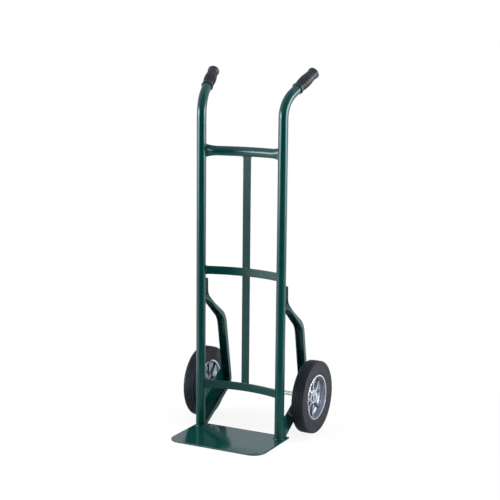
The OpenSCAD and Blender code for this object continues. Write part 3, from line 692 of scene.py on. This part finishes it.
def rounded_ring(start, end, inner_r, outer_r, edge):
    """Section of a ring whose outer edges are rounded and whose bore is lightly chamfered."""
    steps = 4
    turns = [math.pi / 2 * i / steps for i in range(steps + 1)]
    corner = [(edge * (1 - math.sin(turn)), edge * (1 - math.cos(turn))) for turn in turns]
    section = [(start, inner_r + edge / 2), (start + edge / 2, inner_r),
               (end - edge / 2, inner_r), (end, inner_r + edge / 2)]
    section += [(end - x, outer_r - r) for r, x in corner]
    section += [(start + x, outer_r - r) for r, x in reversed(corner)]
    return section


axle_r = axle_high.z - axle_middle.z
running_gap = 0.00006
axle_bore_r = axle_r + running_gap
chamfer = 0.0012
turned("axle_rod", [(axle_low.x, 0), (axle_low.x, axle_r - chamfer), (axle_low.x + chamfer, axle_r),
                    (axle_high.x - chamfer, axle_r), (axle_high.x, axle_r - chamfer), (axle_high.x, 0)],
       False, "frame", zinc, "axle")
for side in ("left", "right"):
    for piece, edge in (("inner_washer", 0.0006), ("spacer", 0.0005), ("outer_washer", 0.0006)):
        low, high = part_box(f"{side}_{piece}")
        turned(f"{side}_{piece}_turned", rounded_ring(low.x, high.x, axle_bore_r, (high.z - low.z) / 2, edge),
               True, "frame", zinc, f"{side}_{piece}")


# ---- Cotter pins ----
# Each is one length of plated wire, bent double into an eye above the axle. Its two legs go down
# through the axle's cross hole and are spread below it, so that it can't come out.

wire_tree, given, add = geometry_tree("bent_wire", [
    ("Wire Radius", "NodeSocketFloat"), ("Step", "NodeSocketFloat"), ("Material", "NodeSocketMaterial")])
path = add("GeometryNodeMeshToCurve", {"Mesh": given.outputs["Geometry"]})
even = add("GeometryNodeResampleCurve", {"Curve": path.outputs[0], "Length": given.outputs["Step"]},
           mode="LENGTH")
profile = add("GeometryNodeCurvePrimitiveCircle", {"Resolution": 12, "Radius": given.outputs["Wire Radius"]})
wire = add("GeometryNodeCurveToMesh", {"Curve": even.outputs[0], "Profile Curve": profile.outputs[0],
                                       "Fill Caps": True})
smooth = add("GeometryNodeSetShadeSmooth", {"Geometry": wire.outputs[0]})
end_tree(add, smooth.outputs[0], given)

wire_r = 0.00092
eye_r = 0.0034
eye_steps = 24
spread_angle = math.radians(34)
half_gap = wire_r * 0.95
bend_below_axle = 0.0006
for side in ("left", "right"):
    low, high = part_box(f"{side}_cotter_pin")
    middle = (low + high) / 2
    eye_z = high.z - eye_r - wire_r
    leg_z = axle_middle.z - axle_r - bend_below_axle
    leg_end = low.z + wire_r
    spread = math.tan(spread_angle) * (leg_z - leg_end)
    # Both halves share the eye, which is open by the width of the two legs
    opening = math.asin(half_gap / eye_r)
    leg = [(half_gap + spread, leg_end), (half_gap + spread * 0.5, (leg_z + leg_end) / 2), (half_gap, leg_z)]
    leg += [(half_gap, leg_z + (eye_z - eye_r - leg_z) * i / 4) for i in range(1, 4)]
    turns = [opening + (2 * math.pi - 2 * opening) * i / eye_steps for i in range(eye_steps + 1)]
    eye = [(eye_r * math.sin(turn), eye_z - eye_r * math.cos(turn)) for turn in turns]
    path = leg + eye + [(-y, z) for y, z in reversed(leg)]
    pin = grow(f"{side}_cotter_wire", [([Vector((middle.x, middle.y + y, z)) for y, z in path], False)],
               wire_tree, "frame", "zinc_steel", **{"Wire Radius": wire_r, "Step": 0.0006, "Material": zinc})
    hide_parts(f"{side}_cotter_pin")


# ---- Tyres ----
# Solid rubber, moulded with grooves round the tread and stretched over the rim. The sidewalls
# keep a grey bloom and the mould's fine rings; the tread is darker and cleaner.

tyre_low, tyre_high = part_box("right_tyre")
hub_low, hub_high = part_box("right_hub")
wheel_r = (tyre_high.z - tyre_low.z) / 2
rim_r = (hub_high.z - hub_low.z) / 2
tyre_middle_x = (tyre_low.x + tyre_high.x) / 2
rim_half = hub_high.x - tyre_middle_x
tyre_half = (tyre_high.x - tyre_low.x) / 2
tyre_rubber, add = new_material("tyre_rubber")
effect = add_grain(add, 700.0, (0.48, 0.62), 0.22, 35.0)
around_axle = add("ShaderNodeGroup", node_tree=round_axle)
tread = add("ShaderNodeMapRange", {"Value": around_axle.outputs["Radius"], "From Min": wheel_r - 0.006,
                                   "From Max": wheel_r - 0.003}, interpolation_type="SMOOTHSTEP")
sidewall = blotched(add, effect, (0.014, 0.0115, 0.016), (0.022, 0.0185, 0.0245))
colour = blend_colours(add, tread.outputs["Result"], sidewall, (0.010, 0.0125, 0.017))
ring_pitch = 0.0021
rings = add("ShaderNodeMath", {0: around_axle.outputs["Radius"], 1: 2 * math.pi / ring_pitch},
            operation="MULTIPLY")
ridge = add("ShaderNodeMath", {0: rings.outputs[0]}, operation="COSINE")
crests = add("ShaderNodeMath", {0: ridge.outputs[0], 1: 8.0}, operation="POWER")
moulded = add("ShaderNodeBump", {"Height": crests.outputs[0], "Strength": 0.3, "Distance": 0.0002,
                                 "Normal": effect.outputs["Normal"]})
end_material(add, {"Base Color": colour, "Roughness": effect.outputs["Roughness"],
                   "Specular IOR Level": 0.25, "Normal": moulded.outputs["Normal"]})


def arc(centre_x, centre_r, radius, start, end, steps=5):
    """Points of an arc in a section, from one direction to another in degrees."""
    turns = [math.radians(start + (end - start) * i / steps) for i in range(steps + 1)]
    return [(centre_x + radius * math.cos(turn), centre_r + radius * math.sin(turn)) for turn in turns]


lip_h = 0.006
lip_w = 0.004
seat_r = rim_r - lip_h
seat_half = rim_half - lip_w
fit = 0.00003
shoulder_r = 0.0045
crown_drop = 0.0006
groove_half = 0.0012
groove_depth = 0.0018
groove_places = [0.00347, 0.0104]
# From the middle of the seat, up the sidewall with two moulded rings, and over the tread
half_section = [(seat_half - fit, seat_r + fit), (seat_half - fit, rim_r + fit)]
half_section += [(rim_half, rim_r + fit), (rim_half + 0.0003, rim_r + 0.0008)]
for ring_r in (rim_r + 0.006, wheel_r - 0.014):
    wall_x = tyre_half - 0.0007 * (1 if ring_r > rim_r + 0.01 else 1.6)
    half_section += [(wall_x - 0.0003, ring_r - 0.0016), (wall_x + 0.0002, ring_r - 0.0008),
                     (wall_x + 0.0002, ring_r + 0.0008), (wall_x - 0.0003, ring_r + 0.0016)]
half_section += arc(tyre_half - shoulder_r, wheel_r - crown_drop - shoulder_r, shoulder_r, 0, 84)
for place_x in reversed(groove_places):
    top_r = wheel_r - crown_drop * (place_x / (tyre_half - shoulder_r)) ** 2
    half_section += [(place_x + groove_half + 0.0002, top_r), (place_x + groove_half, top_r - 0.0003),
                     (place_x + groove_half - 0.0002, top_r - groove_depth),
                     (place_x - groove_half + 0.0002, top_r - groove_depth),
                     (place_x - groove_half, top_r - 0.0003), (place_x - groove_half - 0.0002, top_r)]
tyre_section = half_section + [(-x, r) for x, r in reversed(half_section)]
for side, sign in (("left", -1), ("right", 1)):
    middle_x = sign * tyre_middle_x
    turned(f"{side}_tyre_moulded", [(middle_x + x, r) for x, r in tyre_section], True, f"{side}_wheel",
           tyre_rubber, f"{side}_tyre")


# ---- Hubs ----
# Die-cast aluminium wheel centres: a rim, a web, eight ribs and a boss bored for two bearings.
# The rim's lip is turned bright; the rest keeps the skin of the die, with shade painted dark grey into its
# corners.

cast_metal, add = new_material("cast_aluminium")
effect = add_grain(add, 450.0, (0.36, 0.50), 0.25, 45.0)
around_axle = add("ShaderNodeGroup", node_tree=round_axle)
turned_lip = add("ShaderNodeMapRange", {"Value": around_axle.outputs["Radius"], "From Min": rim_r - 0.0062,
                                        "From Max": rim_r - 0.0052})
skin = blotched(add, effect, (0.56, 0.55, 0.62), (0.71, 0.69, 0.76))
# Painted shade: the corners between the ribs, where little light reaches, are coloured dark grey
corners = add("ShaderNodeAmbientOcclusion", {"Distance": 0.03}, samples=8)
painted_corner_shade = add("ShaderNodeMapRange", {"Value": corners.outputs["AO"], "From Min": 0.25, "From Max": 0.75})
skin = blend_colours(add, painted_corner_shade.outputs["Result"], (0.17, 0.165, 0.195), skin)
colour = blend_colours(add, turned_lip.outputs["Result"], skin, (0.86, 0.84, 0.90))
gloss = add("ShaderNodeMapRange", {"Value": turned_lip.outputs["Result"],
                                   "To Min": effect.outputs["Roughness"], "To Max": 0.2})
lathe = add("ShaderNodeTexNoise", {"W": around_axle.outputs["Radius"], "Scale": 2600.0, "Detail": 1.0},
            noise_dimensions="1D")
lathed = add("ShaderNodeMath", {0: lathe.outputs["Fac"], 1: turned_lip.outputs["Result"]},
             operation="MULTIPLY")
cut = add("ShaderNodeBump", {"Height": lathed.outputs[0], "Strength": 0.3, "Distance": 0.0003,
                             "Normal": effect.outputs["Normal"]})
end_material(add, {"Base Color": colour, "Metallic": 1.0, "Roughness": gloss.outputs["Result"],
                   "Normal": cut.outputs["Normal"]})
finish_nodes(cast_metal, ["left_hub", "right_hub"])


# ---- Bearings ----
# Two ball bearings in each hub, pressed into its boss. Races and balls are hardened, ground steel,
# and the balls are held apart by ribbon cages pressed from plated strip.

bearing_steel, add = new_material("bearing_steel")
effect = add_grain(add, 2500.0, (0.12, 0.22), 0.04, 90.0)
colour = blotched(add, effect, (0.50, 0.51, 0.53), (0.60, 0.61, 0.62))
end_material(add, {"Base Color": colour, "Metallic": 1.0, "Roughness": effect.outputs["Roughness"],
                   "Normal": effect.outputs["Normal"]})
finish_nodes(bearing_steel, [f"{side}_{piece}" for side in ("left", "right") for piece in
                             ("outer_races", "inner_races", "balls")])
finish_nodes(zinc, ["left_ball_cages", "right_ball_cages"])
